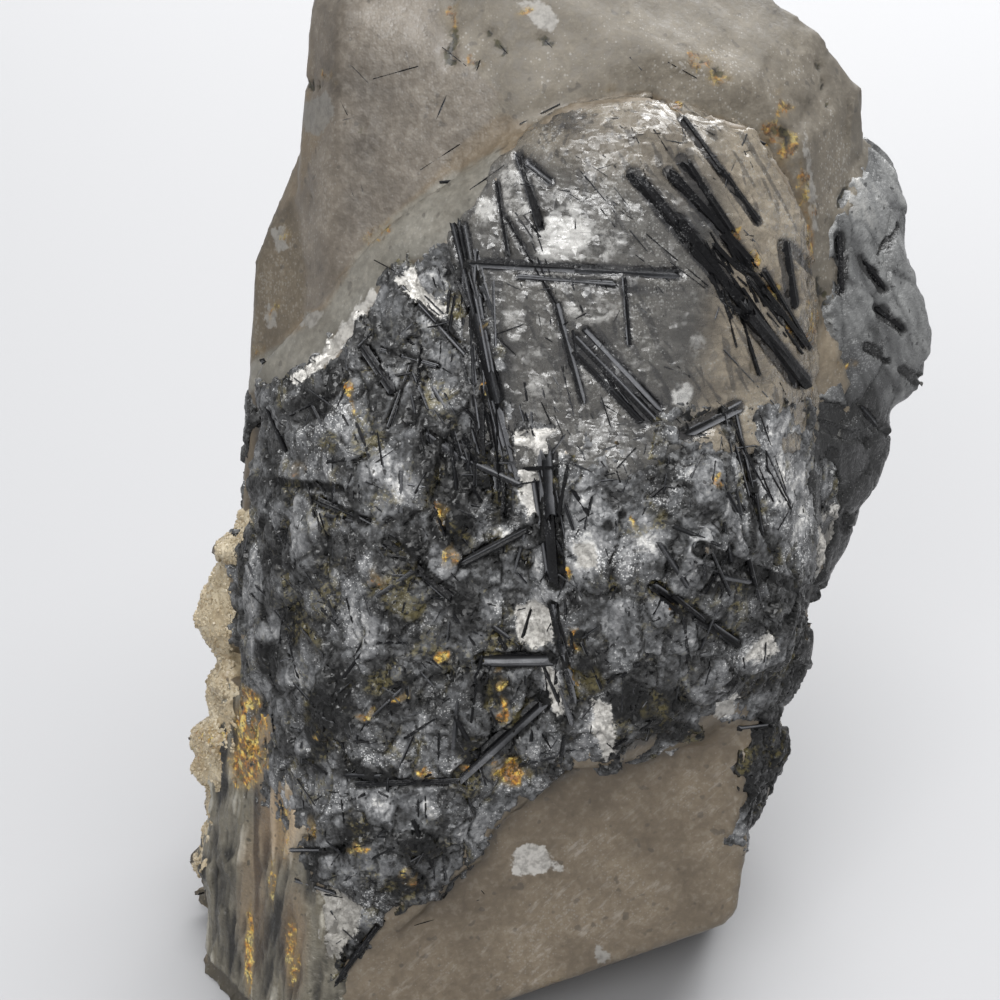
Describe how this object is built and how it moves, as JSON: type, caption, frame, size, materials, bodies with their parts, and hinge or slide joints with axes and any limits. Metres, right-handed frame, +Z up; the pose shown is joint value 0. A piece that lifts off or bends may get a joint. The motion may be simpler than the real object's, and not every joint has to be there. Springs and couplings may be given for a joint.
{
  "type": "tourmalinated quartz point",
  "caption": "Smoky quartz crystal point with black tourmaline needles grown through it, stepped grey side crystals and a pale druse crust, standing on its flat broken base.",
  "frame": {"origin": "on the flat broken base, below the middle of the crystal", "axes": "+Z up along the crystal's length, its broad needle-filled face towards -Y, its stepped side crystals towards +X"},
  "size_m": [0.0812, 0.0656, 0.1172],
  "materials": {
    "quartz": "smoky and frosted quartz faces, glassy where clear",
    "tourmaline": "black needles with lengthwise striations, glossy",
    "druse": "pale sugary crust of small crystals"
  },
  "bodies": {
    "root": {"tourmalinated_quartz": "quartz"}
  },
  "joints": []
}
